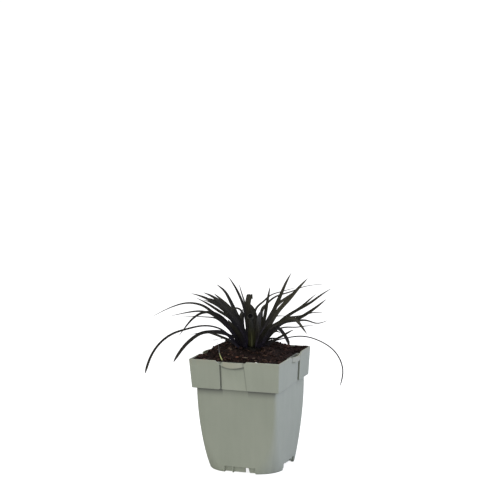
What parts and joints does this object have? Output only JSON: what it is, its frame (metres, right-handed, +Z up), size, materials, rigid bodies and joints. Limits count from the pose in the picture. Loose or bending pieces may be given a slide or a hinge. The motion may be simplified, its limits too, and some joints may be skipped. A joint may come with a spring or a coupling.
{
  "type": "potted grass-like garden plant",
  "caption": "Tuft of dark arching strap leaves rising from a mound of bark potting mix in a square tapered plastic nursery pot with a deep collar.",
  "frame": {"origin": "middle of the pot's foot, on the surface that the pot stands on", "axes": "+Z up along the pot's axis; -Y out of the pot side that faces the viewer on the left, +X out of the side at its right"},
  "size_m": [0.1705, 0.1441, 0.1857],
  "materials": {
    "pot_plastic": "matt injection-moulded polypropylene, grey-green",
    "soil_mix": "rough, dark brown bark and peat potting mix",
    "crown_stem": "fibrous plant base",
    "leaf_black": "smooth, leathery, near-black leaf with a soft sheen",
    "sprout_green": "smooth pale yellow-green young leaf"
  },
  "bodies": {
    "root": {"pot": "pot_plastic", "soil": "soil_mix", "crown": "crown_stem", "sprout": "sprout_green", "leaf_left_01": "leaf_black", "leaf_left_02": "leaf_black", "leaf_left_03": "leaf_black", "leaf_left_04": "leaf_black", "leaf_left_05": "leaf_black", "leaf_left_06": "leaf_black", "leaf_left_07": "leaf_black", "leaf_left_08": "leaf_black", "leaf_left_09": "leaf_black", "leaf_left_10": "leaf_black", "leaf_left_11": "leaf_black", "leaf_left_12": "leaf_black", "leaf_left_13": "leaf_black", "leaf_left_14": "leaf_black", "leaf_left_15": "leaf_black", "leaf_left_16": "leaf_black", "leaf_left_17": "leaf_black", "leaf_left_18": "leaf_black", "leaf_left_19": "leaf_black", "leaf_left_20": "leaf_black", "leaf_right_01": "leaf_black", "leaf_right_02": "leaf_black", "leaf_right_03": "leaf_black", "leaf_right_04": "leaf_black", "leaf_right_05": "leaf_black", "leaf_right_06": "leaf_black", "leaf_right_07": "leaf_black", "leaf_right_08": "leaf_black", "leaf_right_09": "leaf_black", "leaf_right_10": "leaf_black", "leaf_right_11": "leaf_black", "leaf_right_12": "leaf_black", "leaf_right_13": "leaf_black", "leaf_right_14": "leaf_black", "leaf_right_15": "leaf_black", "leaf_right_16": "leaf_black", "leaf_right_17": "leaf_black", "leaf_right_18": "leaf_black", "leaf_right_19": "leaf_black", "leaf_middle_01": "leaf_black", "leaf_middle_02": "leaf_black", "leaf_middle_03": "leaf_black", "leaf_middle_04": "leaf_black", "leaf_middle_05": "leaf_black", "leaf_middle_06": "leaf_black", "leaf_middle_07": "leaf_black", "leaf_middle_08": "leaf_black", "leaf_back_01": "leaf_black", "leaf_back_02": "leaf_black", "leaf_back_03": "leaf_black", "leaf_back_04": "leaf_black", "leaf_back_05": "leaf_black", "leaf_back_06": "leaf_black"}
  },
  "joints": []
}
